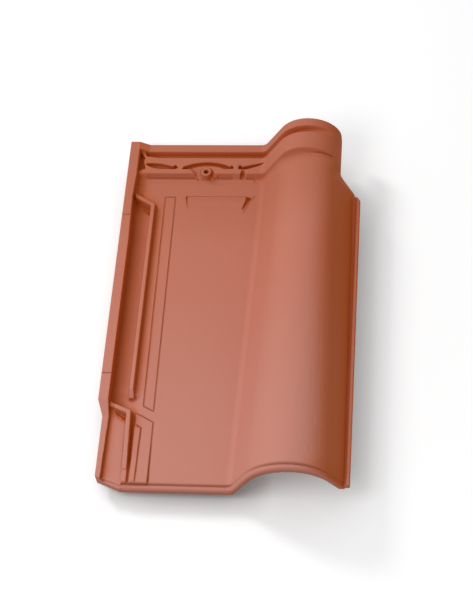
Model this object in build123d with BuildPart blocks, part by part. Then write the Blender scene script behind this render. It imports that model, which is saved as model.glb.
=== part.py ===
from build123d import *
import os
from dataclasses import dataclass
from math import cos, radians, sin, sqrt, tan

# Overall size of the tile
tile_width = 273.0
tile_length = 445.0
pan_thickness = 12.0
nib_depth = 12.0

# Roll: the round cover on the right, wider at the tail than at the head
roll_rise = 57.6
roll_width_at_tail = 130.6
roll_width_at_shoulder = 119.5
roll_crest_at_tail = 60.5
roll_crest_at_shoulder = 55.0
roll_left_slope = 60.0
roll_right_slope = 56.0
roll_edge_inset = 2.5
foot_radius = 10.0
shell_at_crest = 12.0
shell_at_flank = 7.5
roll_edge_rise = 9.5

# Flange along the roll's right edge
flange_width = 6.0
flange_rise = 17.0
flange_dip = 13.0
flange_root = 4.0
flange_end_from_head = 78.5
flange_end_length = 9.0
flange_end_width = 7.0
flange_bevel = 1.0

# Shoulder, where the roll draws in to the neck
shoulder_from_head = 74.5
shoulder_length = 24.0
shoulder_edge_inset = 6.5

# Neck, the arch that the next tile's roll covers
neck_rise = 52.3
neck_right_inset = 23.7
neck_crest_to_wall = 29.8
neck_left_slope = 57.4
neck_right_slope = 89.0
neck_edge_rise = 13.0

# Head lock, from the head towards the tail
head_rim_width = 10.6
head_rim_rise = 6.0
head_rim_wall_run = 1.6
head_channel_depth = 1.5
head_channel_end = 18.0
ridge_back_from_head = 19.4
ridge_front_from_head = 42.5
ridge_back_rise = 6.0
ridge_front_rise = 7.0
ridge_wall_run = 4.3
crest_ring_share = 0.8
ring_end_share = 0.7

# Drip strip at the foot of the ridge
drip_strip_rise = 0.8
drip_strip_width = 4.6
drip_strip_right_from_foot = 5.5

# Slot between the two ridges, in three leaves with a brace between each two
slot_left = 18.6
slot_brace_from_left = 60.7
slot_brace_from_foot = 26.9
slot_tip_past_foot = 5.9
slot_brace_half_width = 2.1
slot_spur = 3.2
slot_crest_from_head = 25.9
slot_tip_from_head = 28.0
slot_back_from_head = 32.4
slot_front_from_head = 36.0
slot_width = 5.7
slot_end_run = 10.9
slot_left_end_run = 17.5
slot_leaf_fall = 1.5

# Nail boss, in a ramp through the front ridge
boss_off_centre = 1.4
boss_from_head = 41.5
boss_radius = 5.9
boss_rise = 9.0
boss_draft = 6.0
nail_hole_radius = 2.9
ramp_top_from_head = 35.5
ramp_foot_from_head = 48.2
ramp_left = 18.0
ramp_foot_left = 9.5
ramp_right = 9.4
ramp_foot_right = 6.1
ramp_top_gap = 0.5

# Gap through the front ridge, beside the roll
gap_from_foot = 20.1
gap_half_width = 2.1
gap_apex_from_head = 36.8
gap_apex_lean = 2.4
gap_spread = 8.0

# Side lock along the left edge
rim_width = 11.4
rim_foot_width = 12.4
rim_waist_width = 9.8
rim_waist_from_head = 78.0
rim_waist_length = 30.0
rim_rise = 12.5
rim_corner_width = 22.6
groove_depth = 4.0
groove_width = 19.6

# Pocket between the rim and the left end of the front ridge
side_pocket_width = 8.2
side_pocket_neck_width = 5.2
side_pocket_head_from_head = 8.0
side_pocket_wide_from_head = 19.8
side_pocket_neck_from_head = 24.0
side_pocket_foot_from_head = 36.0
side_pocket_tail_from_head = 38.9
channel_end_width = 21.0
channel_end_from_head = 10.6

# Low rim beside the tail
rim_end_from_tail = 98.5
low_rim_start = 82.0
low_rim_inset = 5.2
low_rim_rise = 5.0
low_rim_width = 7.5
low_rim_tail_width = 5.6
corner_length = 10.5
corner_width = 31.0

# Ribs that lead the water out of the side lock
rib_rise = 7.0
rib_top_left = 31.6
rib_top_width = 4.4
rib_draft = 7.0
upper_rib_from_head = 68.4
upper_rib_run = 16.6
upper_rib_end = 105.0
upper_rib_fall_run = 10.0
lower_rib_top = 101.4
lower_rib_bend = 89.8
lower_rib_end = 4.8
lower_rib_tail_rise = 4.2
lower_rib_step = 20.4
lower_rib_step_drop = 1.4
lower_rib_shift = 2.0
lower_floor_rise = 0.5
lower_floor_tail_depth = 1.0
way_out_overlap = 4.0
way_out_right = 48.0
way_out_start_y = 112.0
way_out_end_y = 84.0
way_out_run = 7.0
rib_pocket_depth = 3.0
rib_pocket_length = 10.3
rib_pocket_width = 17.0

# Lap beside the lower rib, which the next course's head lock meets
trough_depth = 3.0
trough_width = 4.6
trough_end = 16.0
trough_lean = 2.0
trough_fall_run = 18.0
lap_left = 41.0
lap_right = 60.6
lap_head_left = 88.7
lap_head_right = 77.8
lap_tail = 5.6
lap_rise = 2.0
tongue_right = 47.8
tongue_head = 72.0
tongue_rise = 0.8

# Shallow well and notch at the head of the pan
well_head_from_head = 70.7
well_length = 22.0
well_depth = 2.0
well_left = 69.8
well_side_run = 4.0
well_right_from_foot = 12.3
notch_width = 5.8
notch_depth = 6.0
notch_foot_depth = 1.5
notch_foot_run = 1.8

# Nose along the tail's edge
nose_length = 6.5
nose_ledge = 3.2
nose_lip = 1.6
nose_drop = 2.6
nose_face_drop = 5.0

# Underside
foot_rib_from_tail = 12.0
foot_rib_width = 11.0
foot_rib_left = 44.0
underside_draft = 10.0
nib_from_head = 46.0
nib_width = 13.0
nib_length = 34.0
nib_left = 30.0
nib_side_run = 3.0
roll_nib_half_width = 19.0
roll_nib_foot_half_width = 15.0
cover_rib_from_right = 17.0
cover_rib_width = 6.0
cover_rib_low = 2.0
cover_rib_high = 27.0
cover_rib_start = 14.0
cover_rib_from_head = 105.0

pan_top = nib_depth + pan_thickness
pan_bottom = nib_depth
shoulder_start = tile_length - shoulder_from_head
neck_start = shoulder_start + shoulder_length
pan_width_at_tail = tile_width - roll_width_at_tail
pan_width = tile_width - roll_width_at_shoulder
neck_crest = tile_width - neck_right_inset - neck_crest_to_wall
groove_right = rim_foot_width + groove_width
past_edge = 1.0
rib_base = groove_depth + rib_pocket_depth + past_edge
rib_spread = (rib_rise + rib_base) * tan(radians(rib_draft))


def from_left(distance):
    """X of a line this far from the left edge, with the tile centred on the origin."""
    return distance - tile_width / 2


def from_tail(distance):
    """Y of a line this far from the tail, with the tile centred on the origin."""
    return distance - tile_length / 2


def from_head(distance):
    """Y of a line this far from the head."""
    return tile_length / 2 - distance


@dataclass
class Section:
    """A cross-section of the tile, with its heights above the pan's top face."""

    pan_width: float
    left_slope: float
    crest: float
    rise: float
    right_edge: float
    right_slope: float
    edge_rise: float


def arc_radius(reach, rise, slope):
    """Radius of the arc that touches both a level crest and a wall of this slope."""
    angle = radians(slope)
    return (reach * sin(angle) - rise * cos(angle)) / (1 - cos(angle))


def section_face(distance, section, ring=0.0, drop=0.0):
    """The whole cross-section. A ring lifts the pan and the crest, a drop lowers the outer line."""
    left = radians(section.left_slope)
    right = radians(section.right_slope)
    merge = right * ring_end_share
    top = pan_top + ring - drop
    base_top = pan_top + section.rise - drop
    foot = section.pan_width + foot_radius * tan(left / 2)
    edge_run = section.edge_rise / tan(right)
    wall_foot = section.right_edge + edge_run
    edge = pan_top + section.edge_rise
    edge_end = from_left(section.right_edge - drop / tan(right))

    # Outer arcs: the ring's arc leaves the base arc where their slopes agree
    base_crest = from_left(section.crest)
    base_radius = arc_radius(wall_foot - section.crest, section.rise, section.right_slope)
    growth = ring * crest_ring_share / (1 - cos(merge))
    ring_radius = base_radius + growth
    crest = base_crest - growth * sin(merge)
    crest_top = base_top + ring * crest_ring_share
    reach = crest - from_left(foot)
    left_radius = arc_radius(reach, crest_top - top, section.left_slope)

    # Inner arcs
    inner_foot = foot + shell_at_flank / sin(left)
    inner_wall_foot = wall_foot - shell_at_flank / sin(right)
    inner_rise = section.rise - shell_at_crest
    inner_top = pan_top + inner_rise
    inner_left = arc_radius(section.crest - inner_foot, inner_rise, section.left_slope)
    inner_right = arc_radius(inner_wall_foot - section.crest, inner_rise, section.right_slope)
    inner_edge = from_left(inner_wall_foot - edge_run)
    inner_corner = from_left(inner_foot - pan_thickness / tan(left))
    foot_start = from_left(section.pan_width)

    def on_arc(centre, height, radius, angle):
        return (centre + radius * sin(angle), height - radius * (1 - cos(angle)))

    foot_middle = (foot_start + foot_radius * sin(left / 2), top + foot_radius * (1 - cos(left / 2)))
    foot_end = (foot_start + foot_radius * sin(left), top + foot_radius * (1 - cos(left)))
    wall_left = on_arc(crest, crest_top, left_radius, -left)
    merge_point = on_arc(crest, crest_top, ring_radius, merge)
    flank_middle = on_arc(base_crest, base_top, base_radius, (merge + right) / 2)
    wall_right = on_arc(base_crest, base_top, base_radius, right)
    inner_wall_right = on_arc(base_crest, inner_top, inner_right, right)
    inner_middle_right = on_arc(base_crest, inner_top, inner_right, right / 2)
    inner_middle_left = on_arc(base_crest, inner_top, inner_left, -left / 2)
    inner_wall_left = on_arc(base_crest, inner_top, inner_left, -left)

    with BuildLine(Plane.XZ.offset(-from_tail(distance))):
        outline = [
            Line((from_left(0), pan_bottom), (from_left(0), top)),
            Line((from_left(0), top), (foot_start, top)),
            ThreePointArc((foot_start, top), foot_middle, foot_end),
            Line(foot_end, wall_left),
            ThreePointArc(wall_left, on_arc(crest, crest_top, left_radius, -left / 2), (crest, crest_top)),
            ThreePointArc((crest, crest_top), on_arc(crest, crest_top, ring_radius, merge / 2), merge_point),
            ThreePointArc(merge_point, flank_middle, wall_right),
            Line(wall_right, (edge_end, edge)),
            Line((edge_end, edge), (inner_edge, edge)),
            Line((inner_edge, edge), inner_wall_right),
            ThreePointArc(inner_wall_right, inner_middle_right, (base_crest, inner_top)),
            ThreePointArc((base_crest, inner_top), inner_middle_left, inner_wall_left),
            Line(inner_wall_left, (inner_corner, pan_bottom)),
            Line((inner_corner, pan_bottom), (from_left(0), pan_bottom)),
        ]
    return Face(Wire(outline))


tail_section = Section(
    pan_width_at_tail,
    roll_left_slope,
    tile_width - roll_crest_at_tail,
    roll_rise,
    tile_width - roll_edge_inset,
    roll_right_slope,
    roll_edge_rise,
)
shoulder_section = Section(
    pan_width,
    roll_left_slope,
    tile_width - roll_crest_at_shoulder,
    roll_rise,
    tile_width - shoulder_edge_inset,
    roll_right_slope,
    roll_edge_rise,
)
neck_section = Section(
    pan_width,
    neck_left_slope,
    neck_crest,
    neck_rise,
    tile_width - neck_right_inset,
    neck_right_slope,
    neck_edge_rise,
)

# Distance from the tail and height of the ring at each step of the head lock
head_steps = [
    (neck_start, 0.0),
    (tile_length - ridge_front_from_head - ridge_wall_run, 0.0),
    (tile_length - ridge_front_from_head, ridge_front_rise),
    (tile_length - ridge_back_from_head, ridge_back_rise),
    (tile_length - head_channel_end, -head_channel_depth),
    (tile_length - head_rim_width - head_rim_wall_run, -head_channel_depth),
    (tile_length - head_rim_width, head_rim_rise),
    (tile_length, head_rim_rise),
]

# Distance from the tail and drop of the outer line at each step of the nose
nose_steps = [(0.0, nose_face_drop), (nose_lip, nose_drop), (nose_ledge, nose_drop), (nose_length, 0.0)]

nose_share = nose_length / shoulder_start
nose_section = Section(
    tail_section.pan_width + (shoulder_section.pan_width - tail_section.pan_width) * nose_share,
    roll_left_slope,
    tail_section.crest + (shoulder_section.crest - tail_section.crest) * nose_share,
    roll_rise,
    tail_section.right_edge,
    roll_right_slope,
    roll_edge_rise,
)


def prism(outline, low, high, draft=0.0):
    """A block over an outline, between two heights above the pan's top face."""
    with BuildPart() as block:
        with BuildSketch(Plane.XY.offset(pan_top + low)):
            with BuildLine():
                Polyline(*outline, close=True)
            make_face()
        extrude(amount=high - low, dir=(0, 0, 1), taper=draft)
    return block.part


def rim_face(distance, inset, width, rise):
    """A cross-section of the low rim beside the tail."""
    with BuildSketch(Plane.XZ.offset(-from_tail(distance))) as section:
        with BuildLine():
            Polyline(
                (from_left(inset), pan_bottom),
                (from_left(inset + width), pan_bottom),
                (from_left(inset + width), pan_top + rise),
                (from_left(inset), pan_top + rise),
                close=True,
            )
        make_face()
    return section.sketch


def sloping_block(outline, start, start_height, end, end_height, thickness):
    """A block over an outline, on a face that slopes from one point to another, or hanging from it."""
    run = Vector(end[0] - start[0], end[1] - start[1], end_height - start_height)
    across = Vector(-run.Y, run.X, 0)
    slope = Plane(origin=(*start, pan_top + start_height), x_dir=run, z_dir=run.cross(across))
    with BuildPart() as block:
        with BuildSketch(slope):
            Rectangle(2 * tile_length, 2 * tile_length)
        extrude(amount=thickness)
        with BuildSketch(Plane.XY):
            with BuildLine():
                Polyline(*outline, close=True)
            make_face()
        extrude(amount=tile_length, both=True, mode=Mode.INTERSECT)
    return block.part


def rib_outline(rim_side, bend, end, shift=0.0):
    """Outline of a rib at its foot: a slanting arm from the rim, then a run towards the tail."""
    left = rib_top_left - rib_spread
    right = rib_top_left + rib_top_width + rib_spread
    start = rim_width - past_edge
    lean = (rim_side - bend) / (right - start)
    arm = (right - left) * sqrt(1 + lean * lean)
    return [
        (from_left(start), from_tail(rim_side)),
        (from_left(start), from_tail(rim_side - arm)),
        (from_left(left), from_tail(bend - arm + lean * (right - left))),
        (from_left(left + shift), from_tail(end)),
        (from_left(right + shift), from_tail(end)),
        (from_left(right), from_tail(bend)),
    ]


# Outlines that more than one feature shares
corner_lean = (corner_width - low_rim_inset) / corner_length
corner_cut = [
    (from_left(-past_edge), from_tail(-past_edge)),
    (from_left(corner_width + corner_lean * past_edge), from_tail(-past_edge)),
    (from_left(low_rim_inset), from_tail(corner_length)),
    (from_left(-past_edge), from_tail(corner_length)),
]
upper_rib_bend = tile_length - upper_rib_from_head - upper_rib_run
boss_x = (slot_brace_from_left + pan_width - slot_brace_from_foot) / 2 - boss_off_centre
rib_foot_left = from_left(rib_top_left - rib_spread)
rib_foot_right = from_left(rib_top_left + rib_top_width + rib_spread)

with BuildPart() as roof_tile:
    # Nose at the tail
    nose_sections = [section_face(distance, nose_section, drop=drop) for distance, drop in nose_steps]
    loft(sections=nose_sections, ruled=True)

    # Pan and roll
    body_sections = [
        section_face(nose_length, nose_section),
        section_face(shoulder_start, shoulder_section),
    ]
    loft(sections=body_sections, ruled=True)

    # Shoulder
    shoulder_sections = [
        section_face(shoulder_start, shoulder_section),
        section_face(neck_start, neck_section),
    ]
    loft(sections=shoulder_sections, ruled=True)

    # Neck and head lock
    loft(sections=[section_face(distance, neck_section, ring) for distance, ring in head_steps], ruled=True)

    # Flange on the roll's right edge
    with BuildSketch(Plane.XZ.offset(-from_tail(nose_lip))):
        with BuildLine():
            Polyline(
                (from_left(tile_width - flange_width - flange_root), pan_top + roll_edge_rise),
                (from_left(tile_width - flange_width - flange_root), pan_top + flange_dip),
                (from_left(tile_width - flange_width), pan_top + flange_dip),
                (from_left(tile_width - flange_width * 0.6), pan_top + flange_rise),
                (from_left(tile_width - flange_bevel), pan_top + flange_rise),
                (from_left(tile_width), pan_top + flange_rise - flange_bevel),
                (from_left(tile_width), pan_top + roll_edge_rise + flange_bevel),
                (from_left(tile_width - flange_bevel), pan_top + roll_edge_rise),
                close=True,
            )
        make_face()
    extrude(amount=-(tile_length - flange_end_from_head - nose_lip))
    flange_end = tile_length - flange_end_from_head
    flange_corner = [
        (from_left(tile_width + past_edge), from_tail(flange_end - flange_end_length - past_edge)),
        (from_left(tile_width + past_edge), from_tail(flange_end + past_edge)),
        (from_left(tile_width - flange_end_width), from_tail(flange_end + past_edge)),
    ]
    add(prism(flange_corner, roll_edge_rise - past_edge, flange_rise + past_edge), mode=Mode.SUBTRACT)

    # Groove of the side lock
    groove = [
        (from_left(rim_width - past_edge), from_tail(-past_edge)),
        (from_left(groove_right), from_tail(-past_edge)),
        (from_left(groove_right), from_tail(upper_rib_bend)),
        (from_left(rim_width - past_edge), from_tail(upper_rib_bend + upper_rib_run)),
    ]
    add(prism(groove, -groove_depth, past_edge), mode=Mode.SUBTRACT)

    # Way out of the groove, between the two ribs
    way_out_left = from_left(groove_right - way_out_overlap)
    way_out_left_end = groove_right + past_edge
    way_out_steps = [
        (-groove_depth, way_out_left_end, way_out_end_y + way_out_run, way_out_start_y - way_out_run),
        (past_edge / 2, way_out_right, way_out_end_y, way_out_start_y),
    ]
    with BuildPart() as way_out:
        for height, right, tail_side, head_side in way_out_steps:
            with BuildSketch(Plane.XY.offset(pan_top + height)):
                with BuildLine():
                    Polyline(
                        (way_out_left, from_tail(tail_side)),
                        (from_left(right), from_tail(tail_side)),
                        (from_left(right), from_tail(head_side)),
                        (way_out_left, from_tail(head_side)),
                        close=True,
                    )
                make_face()
        loft(ruled=True)
    add(way_out.part, mode=Mode.SUBTRACT)

    # Floor beside the lower rib, which falls towards the tail
    lower_floor = [
        (from_left(0), from_tail(0)),
        (from_left(groove_right), from_tail(0)),
        (from_left(groove_right), from_tail(lower_rib_bend)),
        (from_left(rim_width - past_edge), from_tail(rim_end_from_tail)),
        (from_left(0), from_tail(rim_end_from_tail)),
    ]
    add(
        sloping_block(
            lower_floor,
            (0, from_tail(low_rim_start)),
            lower_floor_rise,
            (0, from_tail(0)),
            -lower_floor_tail_depth,
            -groove_depth - past_edge,
        )
    )

    # Pockets in the bends of the ribs, with floors that fall towards the rib
    pocket_left = from_left(rim_foot_width)
    pockets = [
        (upper_rib_bend + upper_rib_run, upper_rib_bend, -groove_depth),
        (lower_rib_top, lower_rib_bend, -lower_floor_rise),
    ]
    for rim_side, bend, level in pockets:
        rib_pocket = [
            (pocket_left, from_tail(rim_side - past_edge)),
            (pocket_left + rib_pocket_width / 2, from_tail(bend - rib_pocket_length / 3)),
            (rib_foot_left - past_edge, from_tail(bend - rib_pocket_length)),
            (rib_foot_left + past_edge, from_tail(bend - rib_pocket_length)),
            (rib_foot_left + past_edge, from_tail(bend)),
        ]
        floor_start = (pocket_left + rib_pocket_width / 3, 0)
        floor_end = (rib_foot_left, 0)
        add(
            sloping_block(rib_pocket, floor_start, level, floor_end, level - rib_pocket_depth, rib_rise),
            mode=Mode.SUBTRACT,
        )

    # Trough between the lower rib and the lap
    trough_left = rib_foot_right - past_edge
    trough_right = rib_foot_right + trough_width
    trough = [
        (trough_left, from_tail(trough_end)),
        (trough_right, from_tail(trough_end)),
        (trough_right - trough_lean, from_tail(lower_rib_bend)),
        (trough_left, from_tail(lower_rib_bend)),
    ]
    deep_trough = [
        (trough_left, from_tail(trough_end + trough_fall_run)),
        (trough_right, from_tail(trough_end + trough_fall_run)),
        (trough_right - trough_lean, from_tail(lower_rib_bend)),
        (trough_left, from_tail(lower_rib_bend)),
    ]
    fall_start = (0, from_tail(trough_end))
    fall_end = (0, from_tail(trough_end + trough_fall_run))
    trough_cut = sloping_block(trough, fall_start, 0, fall_end, -trough_depth, pan_thickness)
    add(trough_cut - prism(deep_trough, -pan_thickness, -trough_depth), mode=Mode.SUBTRACT)

    # Cut back of the left edge beside the tail
    add(prism(corner_cut, -pan_thickness, low_rim_rise), mode=Mode.SUBTRACT)
    cut_back = [
        (from_left(-past_edge), from_tail(-past_edge)),
        (from_left(low_rim_inset), from_tail(-past_edge)),
        (from_left(low_rim_inset), from_tail(low_rim_start)),
        (from_left(0), from_tail(rim_end_from_tail)),
        (from_left(-past_edge), from_tail(rim_end_from_tail)),
    ]
    add(prism(cut_back, -pan_thickness, low_rim_rise), mode=Mode.SUBTRACT)

    # Low rim, and the ramp down to it
    rim_stations = [
        (rim_end_from_tail, 0.0, rim_width, rim_rise),
        (low_rim_start, low_rim_inset, low_rim_width, low_rim_rise),
        (0.0, low_rim_inset, low_rim_tail_width, low_rim_rise),
    ]
    loft(sections=[rim_face(*station) for station in rim_stations], ruled=True)
    add(prism(corner_cut, -pan_thickness, low_rim_rise + past_edge), mode=Mode.SUBTRACT)

    # Ledge of the nose along the cut corner
    ledge_start = low_rim_inset + low_rim_width
    ledge_back = (corner_width - ledge_start) / corner_lean + nose_ledge
    corner_ledge = [
        (from_left(ledge_start), from_tail(0)),
        (from_left(corner_width + nose_ledge), from_tail(0)),
        (from_left(corner_width + nose_ledge / 2), from_tail(nose_ledge)),
        (from_left(ledge_start), from_tail(ledge_back)),
    ]
    add(prism(corner_ledge, -nose_drop, low_rim_rise + past_edge), mode=Mode.SUBTRACT)

    # Ribs of the side lock
    upper_rib = rib_outline(upper_rib_bend + upper_rib_run, upper_rib_bend, upper_rib_end)
    lower_rib = rib_outline(lower_rib_top, lower_rib_bend, lower_rib_end, lower_rib_shift)
    add(prism(upper_rib, -rib_base, rib_rise, rib_draft))
    add(prism(lower_rib, -rib_base, rib_rise, rib_draft))

    # Fall of the lower rib's top, with a small step near the tail
    rib_right = rib_foot_right + lower_rib_shift
    rib_top = [
        (rib_foot_left, from_tail(0)),
        (rib_right, from_tail(0)),
        (rib_right, from_tail(lower_rib_bend)),
        (rib_foot_left, from_tail(lower_rib_bend)),
    ]
    rib_step = [
        (rib_foot_left, from_tail(0)),
        (rib_right, from_tail(0)),
        (rib_right, from_tail(lower_rib_step)),
        (rib_foot_left, from_tail(lower_rib_step)),
    ]
    top_start = (0, from_tail(lower_rib_bend))
    top_end = (0, from_tail(lower_rib_step))
    step_rise = lower_rib_tail_rise - lower_rib_step_drop
    add(
        sloping_block(rib_top, top_start, rib_rise, top_end, lower_rib_tail_rise, rib_rise),
        mode=Mode.SUBTRACT,
    )
    add(prism(rib_step, step_rise, rib_rise), mode=Mode.SUBTRACT)

    # Fall of the upper rib's end
    rib_end = [
        (rib_foot_left - past_edge, from_tail(upper_rib_end - past_edge)),
        (rib_foot_right + past_edge, from_tail(upper_rib_end - past_edge)),
        (rib_foot_right + past_edge, from_tail(upper_rib_end + upper_rib_fall_run)),
        (rib_foot_left - past_edge, from_tail(upper_rib_end + upper_rib_fall_run)),
    ]
    end_start = (0, from_tail(upper_rib_end + upper_rib_fall_run))
    end_foot = (0, from_tail(upper_rib_end))
    add(sloping_block(rib_end, end_start, rib_rise, end_foot, 0, rib_rise), mode=Mode.SUBTRACT)

    # Lap, which the next course's head lock meets, and its raised tongue
    head_left = Vector(from_left(lap_left), from_tail(lap_head_left))
    head_right = Vector(from_left(lap_right), from_tail(lap_head_right))
    fall_line = (head_right - head_left).rotate(Axis.Z, -90).normalized() * (lap_head_left - lap_tail)
    lap_foot = head_left + fall_line
    lap = [
        (head_left.X, head_left.Y),
        (head_left.X, from_tail(lap_tail)),
        (head_right.X, from_tail(lap_tail)),
        (head_right.X, head_right.Y),
    ]
    tongue = [
        (trough_right, from_tail(lap_tail + trough_width / 2)),
        (from_left(tongue_right), from_tail(lap_tail + trough_width / 2)),
        (from_left(tongue_right), from_tail(tongue_head - trough_width / 2)),
        (trough_right - trough_lean, from_tail(tongue_head)),
    ]
    lap_start = (head_left.X, head_left.Y)
    lap_end = (lap_foot.X, lap_foot.Y)
    tongue_tail_rise = lap_rise + tongue_rise
    add(sloping_block(lap, lap_start, 0, lap_end, lap_rise, -tongue_tail_rise))
    add(sloping_block(tongue, lap_start, tongue_rise, lap_end, tongue_tail_rise, -tongue_tail_rise))

    # Shallow well at the head of the pan, with a notch beside the roll
    well_right = pan_width - well_right_from_foot
    well_foot_right = well_right - well_side_run - notch_foot_run
    well = [
        (from_left(well_left + well_side_run), from_head(well_head_from_head + well_length)),
        (from_left(well_foot_right), from_head(well_head_from_head + well_length)),
        (from_left(well_right), from_head(well_head_from_head)),
        (from_left(well_left), from_head(well_head_from_head)),
    ]
    notch = [
        (from_left(well_foot_right), from_head(well_head_from_head + well_length)),
        (from_left(well_right + notch_width), from_head(well_head_from_head + notch_foot_run)),
        (from_left(well_right), from_head(well_head_from_head)),
    ]
    well_foot = (0, from_head(well_head_from_head + well_length))
    well_head = (0, from_head(well_head_from_head))
    add(sloping_block(well, well_foot, 0, well_head, -well_depth, pan_thickness), mode=Mode.SUBTRACT)
    add(
        sloping_block(notch, well_foot, -notch_foot_depth, well_head, -notch_depth, pan_thickness),
        mode=Mode.SUBTRACT,
    )

    # Drip strip at the foot of the front ridge
    ridge_foot_from_head = ridge_front_from_head + ridge_wall_run
    strip_right = from_left(pan_width - drip_strip_right_from_foot)
    drip_strip = [
        (from_left(rim_width - past_edge), from_head(ridge_foot_from_head + drip_strip_width)),
        (strip_right, from_head(ridge_foot_from_head + drip_strip_width)),
        (strip_right, from_head(ridge_foot_from_head - past_edge)),
        (from_left(rim_width - past_edge), from_head(ridge_foot_from_head - past_edge)),
    ]
    add(prism(drip_strip, -past_edge, drip_strip_rise))

    # Left end of the channel, closed to a point, and the pocket beside the rim
    channel_end = [
        (from_left(rim_width - past_edge), from_head(head_channel_end + past_edge)),
        (from_left(rim_width + channel_end_width), from_head(head_channel_end + past_edge)),
        (from_left(rim_width + side_pocket_width), from_head(head_channel_end - past_edge)),
        (from_left(rim_width + side_pocket_neck_width), from_head(channel_end_from_head)),
        (from_left(rim_width - past_edge), from_head(channel_end_from_head)),
    ]
    side_pocket = [
        (from_left(rim_width - past_edge), from_head(side_pocket_tail_from_head)),
        (from_left(rim_width + side_pocket_width), from_head(side_pocket_foot_from_head)),
        (from_left(rim_width + side_pocket_neck_width), from_head(side_pocket_neck_from_head)),
        (from_left(rim_width + side_pocket_width - 2 * past_edge), from_head(side_pocket_wide_from_head)),
        (from_left(rim_width - past_edge), from_head(side_pocket_head_from_head)),
    ]
    add(prism(channel_end, -head_channel_depth - past_edge, ridge_back_rise))
    add(prism(side_pocket, 0, rim_rise + past_edge), mode=Mode.SUBTRACT)

    # Rim along the left edge, with a slight waist
    waist = tile_length - rim_waist_from_head
    rim = [
        (from_left(0), from_tail(rim_end_from_tail)),
        (from_left(rim_width), from_tail(rim_end_from_tail)),
        (from_left(rim_width), from_tail(waist - 2 * rim_waist_length)),
        (from_left(rim_waist_width), from_tail(waist)),
        (from_left(rim_width), from_tail(waist + rim_waist_length)),
        (from_left(rim_width), from_head(0)),
        (from_left(0), from_head(0)),
    ]
    add(prism(rim, -pan_thickness, rim_rise))

    # Rim's corner at the head
    with BuildSketch(Plane.XZ.offset(-from_head(0))):
        with BuildLine():
            Polyline(
                (from_left(rim_width - past_edge), pan_top),
                (from_left(rim_corner_width), pan_top),
                (from_left(rim_corner_width), pan_top + head_rim_rise),
                (from_left(rim_width - past_edge), pan_top + rim_rise),
                close=True,
            )
        make_face()
    extrude(amount=head_rim_width)

    # Slot between the ridges, cut down to the pan in three leaves
    brace_left = slot_brace_from_left
    brace_right = pan_width - slot_brace_from_foot
    slot_middle = (brace_left + brace_right) / 2
    slot_right = pan_width + slot_tip_past_foot
    slot_back = from_head(slot_back_from_head)
    slot_front = from_head(slot_front_from_head)
    slot_crest = from_head(slot_crest_from_head)
    slot_tip = from_head(slot_tip_from_head)
    slot_spike = slot_back + slot_spur
    left_leaf_end = brace_left - slot_brace_half_width
    middle_leaf_start = brace_left + slot_brace_half_width
    middle_leaf_end = brace_right - slot_brace_half_width
    right_leaf_start = brace_right + slot_brace_half_width
    with BuildPart() as slot:
        with BuildSketch(Plane.XY.offset(pan_top)):
            with BuildLine():
                ThreePointArc(
                    (from_left(slot_left), slot_tip),
                    (from_left(slot_left + slot_end_run), slot_crest - slot_leaf_fall),
                    (from_left(left_leaf_end - 2 * slot_spur), slot_back),
                )
                Polyline(
                    (from_left(left_leaf_end - 2 * slot_spur), slot_back),
                    (from_left(left_leaf_end - slot_spur), slot_spike),
                    (from_left(left_leaf_end), slot_front + slot_spur / 2),
                    (from_left(left_leaf_end - slot_spur), slot_front),
                    (from_left(left_leaf_end - slot_left_end_run), slot_front),
                )
                ThreePointArc(
                    (from_left(left_leaf_end - slot_left_end_run), slot_front),
                    (from_left(slot_left + slot_end_run), slot_front + slot_leaf_fall),
                    (from_left(slot_left), slot_tip),
                )
            make_face()
            with BuildLine():
                ThreePointArc(
                    (from_left(middle_leaf_start + slot_brace_half_width), slot_back),
                    (from_left(slot_middle), slot_crest),
                    (from_left(middle_leaf_end - slot_spur - past_edge), slot_back),
                )
                Polyline(
                    (from_left(middle_leaf_end - slot_spur - past_edge), slot_back),
                    (from_left(middle_leaf_end - slot_spur), slot_spike),
                    (from_left(middle_leaf_end), slot_front + past_edge),
                    (from_left(middle_leaf_end - slot_end_run), slot_front),
                )
                ThreePointArc(
                    (from_left(middle_leaf_end - slot_end_run), slot_front),
                    (from_left(slot_middle), slot_crest - slot_width),
                    (from_left(middle_leaf_start + slot_end_run), slot_front),
                )
                Polyline(
                    (from_left(middle_leaf_start + slot_end_run), slot_front),
                    (from_left(middle_leaf_start), slot_front),
                    (from_left(middle_leaf_start + slot_brace_half_width), slot_back),
                )
            make_face()
            with BuildLine():
                Polyline(
                    (from_left(right_leaf_start + slot_end_run), slot_front),
                    (from_left(right_leaf_start + slot_spur), slot_front),
                    (from_left(right_leaf_start), slot_front + past_edge),
                    (from_left(right_leaf_start + slot_brace_half_width), slot_spike),
                    (from_left(right_leaf_start + slot_brace_half_width + slot_spur), slot_back),
                )
                Spline(
                    (from_left(right_leaf_start + slot_brace_half_width + slot_spur), slot_back),
                    (from_left(slot_right), slot_tip + past_edge),
                    (from_left(right_leaf_start + slot_end_run), slot_front),
                )
            make_face()
        extrude(amount=tile_length, dir=(0, 0, 1))
    add(slot.part, mode=Mode.SUBTRACT)

    # Ramp through the front ridge, up to the nail boss
    boss_y = from_head(boss_from_head)
    ramp_top = from_head(ramp_top_from_head)
    ramp_foot = from_head(ramp_foot_from_head)
    ramp = [
        (from_left(boss_x - ramp_foot_left), ramp_foot),
        (from_left(boss_x + ramp_foot_right), ramp_foot),
        (from_left(boss_x + ramp_right), boss_y),
        (from_left(boss_x + ramp_right / 2), ramp_top + past_edge),
        (from_left(boss_x - ramp_foot_left), ramp_top + 2 * past_edge),
        (from_left(boss_x - ramp_left), ramp_top),
    ]
    ramp_rise = ridge_front_rise - ramp_top_gap
    add(
        sloping_block(ramp, (0, ramp_foot), 0, (0, ramp_top), ramp_rise, ridge_front_rise),
        mode=Mode.SUBTRACT,
    )

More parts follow.
